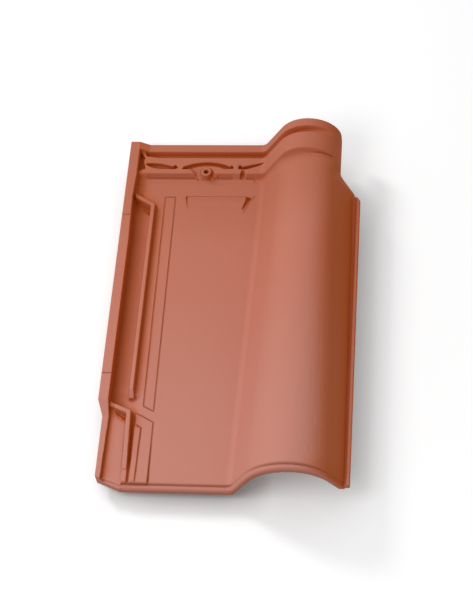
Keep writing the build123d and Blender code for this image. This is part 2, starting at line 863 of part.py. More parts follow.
    # Gap through the front ridge beside the roll
    gap_x = pan_width - gap_from_foot
    gap_apex = from_head(gap_apex_from_head)
    gap_foot = from_head(ridge_foot_from_head)
    with BuildPart() as gap:
        with BuildSketch(Plane.XY.offset(pan_top)):
            with BuildLine():
                Polyline(
                    (from_left(gap_x - gap_half_width), gap_foot),
                    (from_left(gap_x + gap_half_width), gap_foot),
                    (from_left(gap_x + gap_half_width), gap_apex - gap_apex_lean),
                    (from_left(gap_x - gap_half_width + past_edge), gap_apex - gap_apex_lean - past_edge),
                    close=True,
                )
            make_face()
        with BuildSketch(Plane.XY.offset(pan_top + ridge_front_rise + past_edge)):
            with BuildLine():
                Polyline(
                    (from_left(gap_x - gap_half_width), gap_foot),
                    (from_left(gap_x + gap_half_width + gap_spread), gap_foot),
                    (from_left(gap_x + gap_half_width + past_edge), gap_apex),
                    (from_left(gap_x + past_edge), gap_apex + past_edge),
                    close=True,
                )
            make_face()
        loft(ruled=True)
    add(gap.part, mode=Mode.SUBTRACT)

    # Nail boss and its hole
    with BuildSketch(Plane.XY.offset(pan_top - past_edge)):
        with Locations((from_left(boss_x), boss_y)):
            Circle(boss_radius + (boss_rise + past_edge) * tan(radians(boss_draft)))
    extrude(amount=boss_rise + past_edge, taper=boss_draft)
    with Locations((from_left(boss_x), boss_y, pan_top + boss_rise)):
        Hole(nail_hole_radius, depth=pan_thickness + boss_rise + past_edge)

    # Foot rib under the tail
    foot_rib_middle = (foot_rib_left + pan_width_at_tail) / 2
    with BuildSketch(Plane.XY.offset(pan_bottom)):
        with Locations((from_left(foot_rib_middle), from_tail(foot_rib_from_tail))):
            Rectangle(pan_width_at_tail - foot_rib_left, foot_rib_width, align=(Align.CENTER, Align.MIN))
    extrude(amount=-nib_depth, taper=underside_draft)

    # Nib under the head, which hangs on the batten
    with BuildSketch(Plane.XZ.offset(-from_head(nib_from_head))):
        with BuildLine():
            Polyline(
                (from_left(nib_left), pan_bottom),
                (from_left(nib_left + nib_side_run), 0),
                (from_left(nib_left + nib_length - nib_side_run), 0),
                (from_left(nib_left + nib_length), pan_bottom),
                close=True,
            )
        make_face()
    extrude(amount=-nib_width)

    # Second nib, a web that stands in the neck's arch
    web_top = pan_top + neck_rise - shell_at_crest / 2
    web_shoulder = web_top - shell_at_crest
    with BuildSketch(Plane.XZ.offset(-from_head(nib_from_head))):
        with BuildLine():
            Polyline(
                (from_left(neck_crest - roll_nib_foot_half_width), 0),
                (from_left(neck_crest + roll_nib_foot_half_width), 0),
                (from_left(neck_crest + roll_nib_half_width), web_shoulder),
                (from_left(neck_crest), web_top),
                (from_left(neck_crest - roll_nib_half_width), web_shoulder),
                close=True,
            )
        make_face()
    extrude(amount=-nib_width)

    # Cover rib under the roll's right flank
    cover_rib_right = from_left(tile_width - cover_rib_from_right)
    cover_rib_lean = shoulder_edge_inset - roll_edge_inset
    cover_rib = [
        (cover_rib_right - cover_rib_width, from_tail(cover_rib_start)),
        (cover_rib_right, from_tail(cover_rib_start)),
        (cover_rib_right - cover_rib_lean, from_head(cover_rib_from_head)),
        (cover_rib_right - cover_rib_width - cover_rib_lean, from_head(cover_rib_from_head)),
    ]
    add(prism(cover_rib, cover_rib_low, cover_rib_high))

roof_tile.part.label = "roof_tile"
os.makedirs("parts", exist_ok=True)
export_step(roof_tile.part, "parts/roof_tile.step")
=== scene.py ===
from math import cos, pi, radians, sin

import bmesh
import bpy
from bpy.props import FloatProperty, FloatVectorProperty, IntProperty, PointerProperty
from bpy.types import Operator, Panel, PropertyGroup
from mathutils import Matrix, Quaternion, Vector


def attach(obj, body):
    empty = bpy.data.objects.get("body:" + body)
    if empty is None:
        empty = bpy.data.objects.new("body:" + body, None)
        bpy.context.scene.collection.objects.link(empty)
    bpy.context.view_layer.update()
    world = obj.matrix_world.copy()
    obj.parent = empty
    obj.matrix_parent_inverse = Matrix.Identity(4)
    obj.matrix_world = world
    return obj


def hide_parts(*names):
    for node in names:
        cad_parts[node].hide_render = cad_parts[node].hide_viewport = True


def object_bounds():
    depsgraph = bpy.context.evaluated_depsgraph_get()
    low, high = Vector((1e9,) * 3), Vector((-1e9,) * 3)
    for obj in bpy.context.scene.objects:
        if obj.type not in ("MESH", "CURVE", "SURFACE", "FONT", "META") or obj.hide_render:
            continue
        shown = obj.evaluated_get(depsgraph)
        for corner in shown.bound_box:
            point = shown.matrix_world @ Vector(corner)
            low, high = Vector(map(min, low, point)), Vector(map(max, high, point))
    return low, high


bl_info = {
    "name": "Clay Roof Tile",
    "version": (1, 0, 0),
    "blender": (4, 5, 0),
    "location": "View3D > Sidebar > Roof Tile",
    "description": "Dresses a fired clay roof tile and sets it on a plain studio floor",
    "category": "Object",
}

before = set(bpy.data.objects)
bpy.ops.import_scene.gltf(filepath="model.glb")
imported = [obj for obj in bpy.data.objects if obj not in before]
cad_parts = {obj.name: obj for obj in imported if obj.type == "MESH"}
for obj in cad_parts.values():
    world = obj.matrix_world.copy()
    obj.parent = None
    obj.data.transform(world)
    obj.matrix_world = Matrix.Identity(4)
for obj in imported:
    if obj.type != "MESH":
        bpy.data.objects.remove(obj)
cad_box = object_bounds()

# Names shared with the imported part
TILE_NODE = "roof_tile"
TILE_BODY = "root"

# The tile's edges, from the frame, and the height of the pan's top face
LEFT_EDGE = cad_box[0][0]
TAIL_EDGE = cad_box[0][1]
PAN_TOP = 0.024

# Corners closer than this are one corner
MERGE_GAP = 1e-6

# How steep a face may be for a line to be pressed into it: none below the first, all above the second
PRESSED_SLOPE = (0.05, 0.65)

SENSOR_WIDTH = 36.0
SHELTER_SAMPLES = 12

# Patterns in the clay, in repeats per metre
CLOUD_SCALE = 11.0
BLOTCH_SCALE = 70.0
GRAIN_SCALE = 620.0
DUST_SCALE = 2400.0

# Shares of the painted light and shade: a face turned to the painted light, a free way to it, an open place,
# an underside, the tail
LIT_SHARE = 0.32
OPEN_TO_LIGHT_SHARE = 0.42
CLEAR_SHARE = 0.32
BELOW_SHARE = 0.5
TAIL_SHARE = 0.05

# From where to where each mask rises: turned to the painted light, and metres from the middle to tail and head
LIT_RANGE = (-0.2, 0.66)
TAIL_RANGE = (-0.08, 0.2)
HEAD_RANGE = (0.06, 0.16)

# Painted light level at which the painted shade's deep red turns to plain clay, and plain clay to the painted
# light's pale
CLAY_LIGHT_LEVEL = (0.50, 0.77)
PALE_LIGHT_LEVEL = (0.70, 0.99)

# Painted shade in fine lines and creases: darkest where they are narrow and the place round them is open
NARROW_RANGE = (0.05, 0.22)
OPEN_RANGE = (0.5, 0.7)

# Wear and painted highlight along edges, and specks
WEAR_AND_HIGHLIGHT_RANGE = (0.45, 0.85)
SPECK_RANGE = (0.10, 0.32)

# How strongly each colour covers the one below it
TAIL_LIGHT_COVER = 0.9
HEAD_COVER = 0.45
CREVICE_SHADE_COVER = 0.9
RUBBED_AND_HIGHLIGHT_COVER = 0.4
SPECK_COVER = 0.22


class TileSettings(PropertyGroup):
    """Sizes and colours of the tile's surface."""

    grain_size: FloatProperty(
        name="Pressed detail",
        description="Smallest detail that the press leaves",
        subtype="DISTANCE",
        unit="LENGTH",
        default=0.0006,
    )
    rounding: IntProperty(
        name="Rounding",
        description="How often the edges are rubbed over before firing",
        default=2,
    )
    # The lighter colour along edges is wear and a painted highlight
    edge_reach: FloatProperty(
        name="Edge reach",
        description="How far the rubbed colour spreads from an edge",
        subtype="DISTANCE",
        unit="LENGTH",
        default=0.0025,
    )
    # Reach of the painted shade that walls and corners put into the colour beside them
    painted_shade_reach: FloatProperty(
        name="Shelter reach",
        description="How far a wall keeps the bloom off the clay beside it",
        subtype="DISTANCE",
        unit="LENGTH",
        default=0.020,
    )
    # Reach of the painted shade in narrow lines and creases
    crevice_shade_reach: FloatProperty(
        name="Line reach",
        description="Widest line that keeps a dark floor",
        subtype="DISTANCE",
        unit="LENGTH",
        default=0.0025,
    )
    # Direction of the painted light: faces turned to it are painted pale as if lit, faces turned away are
    # painted in shade
    painted_light_from: FloatVectorProperty(
        name="Draught",
        description="Direction that the kiln's draught came from, which left the pale bloom",
        subtype="XYZ",
        size=3,
        default=(-0.72, -0.32, 0.61),
    )
    line_width: FloatProperty(
        name="Line width",
        description="Half the width of the fine lines pressed into the tile",
        subtype="DISTANCE",
        unit="LENGTH",
        default=0.0011,
    )
    line_depth: FloatProperty(
        name="Line depth",
        description="Depth of the fine lines",
        subtype="DISTANCE",
        unit="LENGTH",
        default=0.0009,
    )
    foot_width: FloatProperty(
        name="Foot groove width",
        description="Half the width of the groove at the foot of the front ridge",
        subtype="DISTANCE",
        unit="LENGTH",
        default=0.0024,
    )
    foot_depth: FloatProperty(
        name="Foot groove depth",
        description="Depth of the groove at the foot of the front ridge",
        subtype="DISTANCE",
        unit="LENGTH",
        default=0.0022,
    )
    tail_groove_width: FloatProperty(
        name="Tail groove width",
        description="Half the width of the groove along the tail's edge",
        subtype="DISTANCE",
        unit="LENGTH",
        default=0.0017,
    )
    tail_groove_depth: FloatProperty(
        name="Tail groove depth",
        description="Depth of the groove along the tail's edge",
        subtype="DISTANCE",
        unit="LENGTH",
        default=0.0014,
    )
    bead_width: FloatProperty(
        name="Bead width",
        description="Half the width of the thin raised beads",
        subtype="DISTANCE",
        unit="LENGTH",
        default=0.0015,
    )
    bead_rise: FloatProperty(
        name="Bead rise",
        description="Rise of the thin raised beads",
        subtype="DISTANCE",
        unit="LENGTH",
        default=0.0009,
    )
    eased_width: FloatProperty(
        name="Eased edge",
        description="Run of the slope into the well's head",
        subtype="DISTANCE",
        unit="LENGTH",
        default=0.0055,
    )
    roughness: FloatProperty(
        name="Roughness",
        description="How dull the clay is, before its grain and wear",
        subtype="FACTOR",
        min=0.0,
        max=1.0,
        default=0.70,
    )
    sheen: FloatProperty(
        name="Sheen",
        description="How much light the clay's skin throws back",
        subtype="FACTOR",
        min=0.0,
        max=1.0,
        default=0.25,
    )
    grain_depth: FloatProperty(
        name="Grain depth",
        description="Depth of the grain in the clay's skin",
        subtype="DISTANCE",
        unit="LENGTH",
        default=0.0004,
    )
    most_triangles: IntProperty(
        name="Most triangles",
        description="Triangles left in the finished tile",
        default=190000,
    )
    # Plain clay, the tone between the painted shade and the painted light; also the specks' colour
    clay_colour: FloatVectorProperty(
        name="Clay",
        description="Colour of the fired clay where it has no bloom",
        subtype="COLOR",
        size=3,
        min=0.0,
        max=1.0,
        default=(0.50, 0.122, 0.045),
    )
    # Painted light: the pale colour of faces turned to the painted light
    painted_light_colour: FloatVectorProperty(
        name="Pale clay",
        description="Colour of the open faces, which carry the bloom",
        subtype="COLOR",
        size=3,
        min=0.0,
        max=1.0,
        default=(0.50, 0.168, 0.109),
    )
    # Painted light towards the tail, paler there
    tail_light_colour: FloatVectorProperty(
        name="Dusty clay",
        description="Colour of the bloom towards the tail",
        subtype="COLOR",
        size=3,
        min=0.0,
        max=1.0,
        default=(0.53, 0.214, 0.162),
    )
    # Painted light towards the head, darker there
    head_colour: FloatVectorProperty(
        name="Head clay",
        description="Colour of the clay towards the head, where it is fired darker",
        subtype="COLOR",
        size=3,
        min=0.0,
        max=1.0,
        default=(0.40, 0.105, 0.046),
    )
    # Edge wear and a painted highlight on the convex edges
    rubbed_and_highlight_colour: FloatVectorProperty(
        name="Rubbed clay",
        description="Colour of the edges, where the skin is rubbed thin",
        subtype="COLOR",
        size=3,
        min=0.0,
        max=1.0,
        default=(0.62, 0.235, 0.165),
    )
    # Painted shade: the deep red in corners and on faces turned away from the painted light
    painted_shade_colour: FloatVectorProperty(
        name="Deep clay",
        description="Colour in corners and away from the draught, where the clay keeps its fired red",
        subtype="COLOR",
        size=3,
        min=0.0,
        max=1.0,
        default=(0.46, 0.086, 0.006),
    )
    # Painted shade in fine lines and creases
    crevice_shade_colour: FloatVectorProperty(
        name="Line clay",
        description="Colour in the fine lines",
        subtype="COLOR",
        size=3,
        min=0.0,
        max=1.0,
        default=(0.24, 0.052, 0.022),
    )


class StageSettings(PropertyGroup):
    """Camera, lamps and floor of the studio."""

    azimuth: FloatProperty(
        name="Azimuth",
        description="Direction of the camera round the tile, 0 looking along +Y",
        subtype="ANGLE",
        default=radians(11.92),
    )
    elevation: FloatProperty(
        name="Elevation",
        description="Height of the camera above the horizon",
        subtype="ANGLE",
        default=radians(57.56),
    )
    roll: FloatProperty(
        name="Roll",
        description="Turn of the camera about its own line of sight",
        subtype="ANGLE",
        default=radians(-9.35),
    )
    distance: FloatProperty(
        name="Distance",
        description="From the camera to the point that it looks at",
        subtype="DISTANCE",
        unit="LENGTH",
        default=1.81420,
    )
    aim: FloatVectorProperty(
        name="Aim",
        description="Point that the camera looks at",
        subtype="TRANSLATION",
        unit="LENGTH",
        size=3,
        default=(0.00359, 0.00168, 0.03),
    )
    focal_share: FloatProperty(
        name="Focal length",
        description="Focal length as a multiple of the picture's height",
        default=2.69745,
    )
    key_direction: FloatVectorProperty(
        name="Key direction",
        description="Direction from the tile to the key lamp",
        subtype="XYZ",
        size=3,
        default=(-0.60, 0.50, 0.62),
    )
    key_distance: FloatProperty(
        name="Key distance",
        description="From the tile to the key lamp",
        subtype="DISTANCE",
        unit="LENGTH",
        default=2.2,
    )
    key_size: FloatProperty(
        name="Key size",
        description="Width of the key lamp, which softens its shadows",
        subtype="DISTANCE",
        unit="LENGTH",
        default=0.5,
    )
    key_level: FloatProperty(
        name="Key level",
        description="Brightness that the key lamp gives a white face turned to it",
        default=0.30,
    )
    fill_direction: FloatVectorProperty(
        name="Fill direction",
        description="Direction from the tile to the soft lamp before its tail",
        subtype="XYZ",
        size=3,
        default=(-0.406, -0.406, 0.819),
    )
    fill_distance: FloatProperty(
        name="Fill distance",
        description="From the tile to the soft lamp",
        subtype="DISTANCE",
        unit="LENGTH",
        default=1.15,
    )
    fill_size: FloatProperty(
        name="Fill size",
        description="Width of the soft lamp",
        subtype="DISTANCE",
        unit="LENGTH",
        default=0.6,
    )
    fill_level: FloatProperty(
        name="Fill level",
        description="Brightness that the soft lamp gives a white face turned to it",
        default=0.28,
    )
    ambient: FloatProperty(
        name="Ambient",
        description="Strength of the soft light from all round",
        default=0.59,
    )
    floor_width: FloatProperty(
        name="Floor width",
        description="Width of the square floor",
        subtype="DISTANCE",
        unit="LENGTH",
        default=12.0,
    )
    floor_colour: FloatVectorProperty(
        name="Floor",
        description="Colour in which the studio floor is seen",
        subtype="COLOR",
        size=3,
        min=0.0,
        max=1.0,
        default=(0.98, 0.98, 0.98),
    )
    floor_bounce: FloatVectorProperty(
        name="Floor bounce",
        description="Colour of the light that the floor throws back on the tile",
        subtype="COLOR",
        size=3,
        min=0.0,
        max=1.0,
        default=(0.30, 0.30, 0.30),
    )
    # Reach of the painted shadow on the floor beside the tile
    painted_shadow_reach: FloatProperty(
        name="Contact reach",
        description="How far from the tile the floor still dims under it",
        subtype="DISTANCE",
        unit="LENGTH",
        default=0.04,
    )
    # Painted shadow: the floor's colour beside the tile, away from the key lamp
    painted_shadow_colour: FloatVectorProperty(
        name="Contact floor",
        description="Colour in which the floor is seen where the tile covers it",
        subtype="COLOR",
        size=3,
        min=0.0,
        max=1.0,
        default=(0.36, 0.36, 0.36),
    )
    floor_glow: FloatVectorProperty(
        name="Floor glow",
        description="White that the floor keeps of itself, also in the tile's shadow",
        subtype="COLOR",
        size=3,
        min=0.0,
        max=1.0,
        default=(0.13, 0.13, 0.13),
    )


class Value:
    """A number in a node tree, on which Python's operators add Math nodes."""

    def __init__(self, tree, socket):
        self.tree = tree
        self.socket = socket

    def math(self, operation, first, second):
        return self.tree.node("ShaderNodeMath", {"operation": operation}, [first, second]).value()

    def __add__(self, other):
        return self.math("ADD", self, other)

    def __radd__(self, other):
        return self.math("ADD", other, self)

    def __sub__(self, other):
        return self.math("SUBTRACT", self, other)

    def __rsub__(self, other):
        return self.math("SUBTRACT", other, self)

    def __mul__(self, other):
        return self.math("MULTIPLY", self, other)

    def __rmul__(self, other):
        return self.math("MULTIPLY", other, self)


class Node:
    """A node just added, and its outputs."""

    def __init__(self, tree, node):
        self.tree = tree
        self.node = node

    def value(self, output=0):
        return Value(self.tree, self.node.outputs[output])

    def out(self, output=0):
        return self.node.outputs[output]


class Tree:
    """A node tree that is written one node at a time."""

    def __init__(self, node_tree):
        self.node_tree = node_tree

    def node(self, kind, settings=None, inputs=None):
        """Adds a node: its settings first, then the values or links of its sockets."""
        node = self.node_tree.nodes.new(kind)
        for name, setting in (settings or {}).items():
            setattr(node, name, setting)
        pairs = inputs.items() if isinstance(inputs, dict) else enumerate(inputs or [])
        for key, source in pairs:
            self.feed(node.inputs[key], source)
        return Node(self, node)

    def feed(self, socket, source):
        if isinstance(source, Value):
            source = source.socket
        if isinstance(source, bpy.types.NodeSocket):
            self.node_tree.links.new(source, socket)
        else:
            socket.default_value = source

    def ramp(self, factor, low, high, interpolation="SMOOTHSTEP"):
        """How far a value has come from low to high, from 0 to 1."""
        inputs = {"Value": factor, "From Min": low, "From Max": high}
        return self.node("ShaderNodeMapRange", {"interpolation_type": interpolation}, inputs).value()

    def mix(self, factor, first, second):
        """A colour between two colours."""
        node = self.node("ShaderNodeMix", {"data_type": "RGBA"}, {0: factor})
        self.feed(node.node.inputs[6], first)
        self.feed(node.node.inputs[7], second)
        return node.out(2)


def solid_colour(colour):
    """A colour with its full cover, as a socket takes it."""
    return (*colour, 1.0)


def from_left(distance):
    """X of a line this many millimetres from the left edge."""
    return LEFT_EDGE + distance / 1000


def from_tail(distance):
    """Y of a line this many millimetres from the tail."""
    return TAIL_EDGE + distance / 1000


def linked(name, data):
    """A new object in the scene."""
    piece = bpy.data.objects.new(name, data)
    bpy.context.scene.collection.objects.link(piece)
    return piece


def finish_modifiers(piece):
    """Turns a piece into the plain mesh that its modifiers leave, and takes them off."""
    graph = bpy.context.evaluated_depsgraph_get()
    mesh = bpy.data.meshes.new_from_object(piece.evaluated_get(graph))
    mesh.name = piece.name
    piece.modifiers.clear()
    piece.data = mesh


def merged_copy(node, name):
    """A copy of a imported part's mesh with its loose triangles joined."""
    mesh = node.data.copy()
    mesh.name = name
    shape = bmesh.new()
    shape.from_mesh(mesh)
    bmesh.ops.remove_doubles(shape, verts=shape.verts, dist=MERGE_GAP)
    shape.to_mesh(mesh)
    shape.free()
    return mesh


def keep_inside(mesh, box):
    """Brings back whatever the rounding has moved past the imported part's box."""
    low, high = box
    for vertex in mesh.vertices:
        vertex.co = [min(max(place, least), most) for place, least, most in zip(vertex.co, low, high)]


def drawn(name, runs):
    """Edges seen from above, each run a row of points in millimetres from the left edge and the tail."""
    points, edges = [], []
    for run in runs:
        start = len(points)
        points += [Vector((from_left(x), from_tail(y), 0)) for x, y in run]
        edges += [(i, i + 1) for i in range(start, len(points) - 1)]
    mesh = bpy.data.meshes.new(name)
    mesh.from_pydata(points, edges, [])
    return linked(name, mesh)


def fine_lines():
    """Lines pressed into the top: the strip by the ribs, the lap, its tongue, the ramp and the rim's marks."""
    strip = [(46.1, 373), (58.2, 373), (59.6, 91), (48, 97.2), (46.1, 373)]
    lap = [(41, 88.7), (60.6, 77.8), (61.2, 6)]
    tongue = [(42.8, 74.2), (48, 71), (47.6, 7)]
    ramp_left = [(74.2, 407.5), (82.8, 396.4)]
    ramp_right = [(108.1, 401.8), (101.3, 398.6)]
    rim_head = [(0, 339.8), (11, 339.8)]
    rim_tail = [(0, 130.6), (11, 130.6)]
    return drawn("fine_lines", [strip, lap, tongue, ramp_left, ramp_right, rim_head, rim_tail])


def foot_grooves():
    """Grooves at the foot of the front ridge, from the side lock up over the neck."""
    foot = 400.2
    return drawn(
        "foot_grooves",
        [[(24, foot), (78, foot)], [(106, foot), (122, foot)], [(140, foot), (240, foot)]],
    )


def tail_groove():
    """The groove between the two beads of the tail's edge."""
    return drawn("tail_groove", [[(34, 5.4), (267, 5.4)]])


def beads():
    """Thin beads: the webs of the two rib pockets, the notch's right edge, and one across the neck."""
    upper_web = [(10.7, 374.5), (18.1, 361.2), (27.8, 352.5)]
    lower_web = [(14.4, 97.7), (18.6, 86.1), (21.9, 80.1), (29.2, 76.3)]
    notch_edge = [(137.5, 351.9), (144.6, 368.2), (149, 374)]
    neck = [(158, 395.6), (238, 395.6)]
    return drawn("beads", [upper_web, lower_web, notch_edge, neck])


def well_head():
    """The head edge of the well in the pan."""
    return drawn("well_head", [[(76, 373.6), (139, 373.6)]])


def fired_surface_tree(material, presses):
    """Geometry nodes that round the edges, ease one step, and press or raise the top along drawn lines."""
    group = bpy.data.node_groups.new("fired_surface", "GeometryNodeTree")
    group.is_modifier = True
    group.interface.new_socket("Geometry", in_out="INPUT", socket_type="NodeSocketGeometry")
    group.interface.new_socket("Rounding", in_out="INPUT", socket_type="NodeSocketInt")
    group.interface.new_socket("Eased edge", in_out="INPUT", socket_type="NodeSocketObject")
    group.interface.new_socket("Eased width", in_out="INPUT", socket_type="NodeSocketFloat")
    for name in presses:
        group.interface.new_socket(name, in_out="INPUT", socket_type="NodeSocketObject")
        group.interface.new_socket(name + " width", in_out="INPUT", socket_type="NodeSocketFloat")
        group.interface.new_socket(name + " rise", in_out="INPUT", socket_type="NodeSocketFloat")
    group.interface.new_socket("Geometry", in_out="OUTPUT", socket_type="NodeSocketGeometry")
    tree = Tree(group)
    given = tree.node("NodeGroupInput")

    # Rounded edges
    place = tree.node("GeometryNodeInputPosition").out()
    rubbed = tree.node(
        "GeometryNodeBlurAttribute",
        {"data_type": "FLOAT_VECTOR"},
        {"Value": place, "Iterations": given.out("Rounding")},
    )
    carved = tree.node("GeometryNodeSetPosition", None, {0: given.out("Geometry"), "Position": rubbed.out()})

    # Lines, only on faces that look up
    flat = tree.node("ShaderNodeVectorMath", {"operation": "MULTIPLY"}, [place, (1, 1, 0)])
    normal = tree.node("GeometryNodeInputNormal").out()
    upward = tree.node("ShaderNodeSeparateXYZ", None, [normal]).value("Z")
    on_top = tree.ramp(upward, *PRESSED_SLOPE)

    def near(name, width):
        """1 on the lines of one of the drawn objects, down to 0 at their width."""
        lines = tree.node("GeometryNodeObjectInfo", None, {"Object": given.out(name)})
        inputs = {0: lines.out("Geometry"), "Sample Position": flat.out()}
        distance = tree.node("GeometryNodeProximity", {"target_element": "EDGES"}, inputs).value("Distance")
        return 1 - tree.ramp(distance, 0.0, given.out(width))

    def lifted(geometry, rise):
        offset = tree.node("ShaderNodeCombineXYZ", None, {"Z": rise})
        return tree.node("GeometryNodeSetPosition", None, {0: geometry.out(), "Offset": offset.out()})

    height = tree.node("ShaderNodeSeparateXYZ", None, [place]).value("Z")
    below = tree.node("ShaderNodeMath", {"operation": "MAXIMUM"}, [PAN_TOP - height, 0.0]).value()
    carved = lifted(carved, near("Eased edge", "Eased width") * below * on_top)
    for name in presses:
        carved = lifted(carved, near(name, name + " width") * given.value(name + " rise") * on_top)

    real = tree.node("GeometryNodeRealizeInstances", None, {0: carved.out()})
    covered = tree.node("GeometryNodeSetMaterial", None, {0: real.out(), "Material": material})
    tree.node("NodeGroupOutput", None, {0: covered.out()})
    return group


def set_inputs(modifier, values):
    """Sets a nodes modifier's inputs by name, through the identifiers of its sockets."""
    for item in modifier.node_group.interface.items_tree:
        if item.in_out == "INPUT" and item.name in values:
            modifier[item.identifier] = values[item.name]


class ClayTree(Tree):
    """A material's tree, with the patterns and masks that the clay is made of."""

    def __init__(self, node_tree):
        super().__init__(node_tree)
        self.where = self.node("ShaderNodeTexCoord")

    def noise(self, scale, detail=2.0, roughness=0.5):
        """A pattern in the clay that swings about 0."""
        place = self.where.out("Object")
        inputs = {"Vector": place, "Scale": scale, "Detail": detail, "Roughness": roughness}
        return self.node("ShaderNodeTexNoise", None, inputs).value("Fac") - 0.5

    def openness(self, reach, inside=False, direction=None):
        """How far the clay lies open, all round its own normal or round another direction."""
        inputs = {"Distance": reach}
        if direction is not None:
            inputs["Normal"] = self.node("ShaderNodeCombineXYZ", None, list(direction)).out()
        settings = {"samples": SHELTER_SAMPLES, "inside": inside, "only_local": True}
        return self.node("ShaderNodeAmbientOcclusion", settings, inputs).value("AO")

    def facing(self, direction):
        """How squarely a face looks in a direction, from -1 to 1."""
        inputs = [self.where.out("Normal"), tuple(direction)]
        return self.node("ShaderNodeVectorMath", {"operation": "DOT_PRODUCT"}, inputs).value("Value")

    def along(self):
        """Place along the tile, from the tail to the head."""
        return self.node("ShaderNodeSeparateXYZ", None, [self.where.out("Object")]).value("Y")


def clay_material(tile):
    """Fired clay: mottled red, finely grained, with painted light on faces turned to it, painted shade in
    corners, lines and on the far side, and rubbed edges with a painted highlight.
    """
    material = bpy.data.materials.new("fired_clay")
    material.use_nodes = True
    tree = ClayTree(material.node_tree)
    shader = material.node_tree.nodes["Principled BSDF"]
    shader.inputs["Specular IOR Level"].default_value = tile.sheen

    # Patterns
    clouds = tree.noise(CLOUD_SCALE, detail=4.0)
    blotches = tree.noise(BLOTCH_SCALE, detail=3.0)
    grain = tree.noise(GRAIN_SCALE, roughness=0.6)
    dust = tree.noise(DUST_SCALE, detail=1.0)

    # Painted light and shade: palest where faces turn to the painted light with a free way to it, painted
    # shade in corners and on the far side
    along = tree.along() + clouds * 0.05
    to_tail = tree.ramp(0 - along, *TAIL_RANGE)
    to_head = tree.ramp(along, *HEAD_RANGE)
    lit = tree.ramp(tree.facing(tile.painted_light_from), *LIT_RANGE, "LINEAR")
    # A wall between a face and the painted light paints its shadow here; corners all round paint shade
    open_to_light = tree.openness(tile.painted_shade_reach, direction=tile.painted_light_from)
    clear = tree.openness(tile.painted_shade_reach)
    below = tree.ramp(tree.facing((0, 0, -1)), 0.0, 1.0)
    painted_light = LIT_SHARE * lit + OPEN_TO_LIGHT_SHARE * open_to_light + CLEAR_SHARE * clear
    painted_light = painted_light + BELOW_SHARE * below + TAIL_SHARE * to_tail
    painted_light = painted_light + clouds * 0.12 + blotches * 0.08 + grain * 0.06

    # Colour: painted shade in deep red, plain clay, and painted light in pale clay, which is paler towards the
    # tail and darker towards the head
    deep, clay = solid_colour(tile.painted_shade_colour), solid_colour(tile.clay_colour)
    colour = tree.mix(tree.ramp(painted_light, *CLAY_LIGHT_LEVEL), deep, clay)
    pale = tree.mix(to_tail * TAIL_LIGHT_COVER, solid_colour(tile.painted_light_colour), solid_colour(tile.tail_light_colour))
    pale = tree.mix(to_head * HEAD_COVER, pale, solid_colour(tile.head_colour))
    colour = tree.mix(tree.ramp(painted_light, *PALE_LIGHT_LEVEL), colour, pale)

    # Painted shade in fine lines and creases, rubbed edges with a painted highlight, and specks
    narrow = tree.ramp(1 - tree.openness(tile.crevice_shade_reach), *NARROW_RANGE)
    line = narrow * tree.ramp(clear, *OPEN_RANGE)
    colour = tree.mix(line * CREVICE_SHADE_COVER, colour, solid_colour(tile.crevice_shade_colour))
    sharp = 1 - tree.openness(tile.edge_reach, inside=True)
    edge = tree.ramp(sharp + blotches * 0.3 + grain * 0.3, *WEAR_AND_HIGHLIGHT_RANGE)
    colour = tree.mix(edge * RUBBED_AND_HIGHLIGHT_COVER, colour, solid_colour(tile.rubbed_and_highlight_colour))
    speck = tree.ramp(dust + grain * 0.6, *SPECK_RANGE)
    colour = tree.mix(speck * SPECK_COVER, colour, clay)
    tree.feed(shader.inputs["Base Color"], colour)
    tree.feed(shader.inputs["Roughness"], tile.roughness + blotches * 0.12 + grain * 0.15 - edge * 0.06)

    # Skin
    rough = grain * 0.5 + dust * 0.35 + blotches * 0.6
    inputs = {"Strength": 0.35, "Distance": tile.grain_depth, "Height": rough}
    tree.feed(shader.inputs["Normal"], tree.node("ShaderNodeBump", None, inputs).out())
    return material


def press(piece, tile, material):
    """Remakes the tile's skin in fine squares, rounds its edges and presses or raises what is drawn."""
    remesh = piece.modifiers.new("pressed", "REMESH")
    remesh.mode = "VOXEL"
    remesh.voxel_size = tile.grain_size * 1.0
    presses = {
        "Fine lines": (fine_lines(), tile.line_width, -tile.line_depth),
        "Foot grooves": (foot_grooves(), tile.foot_width, -tile.foot_depth),
        "Tail groove": (tail_groove(), tile.tail_groove_width, -tile.tail_groove_depth),
        "Beads": (beads(), tile.bead_width, tile.bead_rise),
    }
    surface = piece.modifiers.new("fired_surface", "NODES")
    surface.node_group = fired_surface_tree(material, presses)
    eased = well_head()
    rounding = tile.rounding
    values = {"Rounding": rounding, "Eased edge": eased, "Eased width": tile.eased_width}
    for name, (lines, width, rise) in presses.items():
        values.update({name: lines, name + " width": width, name + " rise": rise})
    set_inputs(surface, values)
    finish_modifiers(piece)
    for lines in [eased] + [entry[0] for entry in presses.values()]:
        bpy.data.objects.remove(lines)


def thin_out(piece, most):
    """Takes flat triangles together until no more than this many are left."""
    triangles = sum(len(face.vertices) - 2 for face in piece.data.polygons)
    thinned = piece.modifiers.new("thinned", "DECIMATE")
    thinned.ratio = min(1.0, most / triangles)
    finish_modifiers(piece)


def even_shading(piece):
    """Shades the tile smoothly, and keeps its large faces flat."""
    piece.data.shade_smooth()
    evened = piece.modifiers.new("evened", "WEIGHTED_NORMAL")
    evened.mode = "FACE_AREA"
    finish_modifiers(piece)


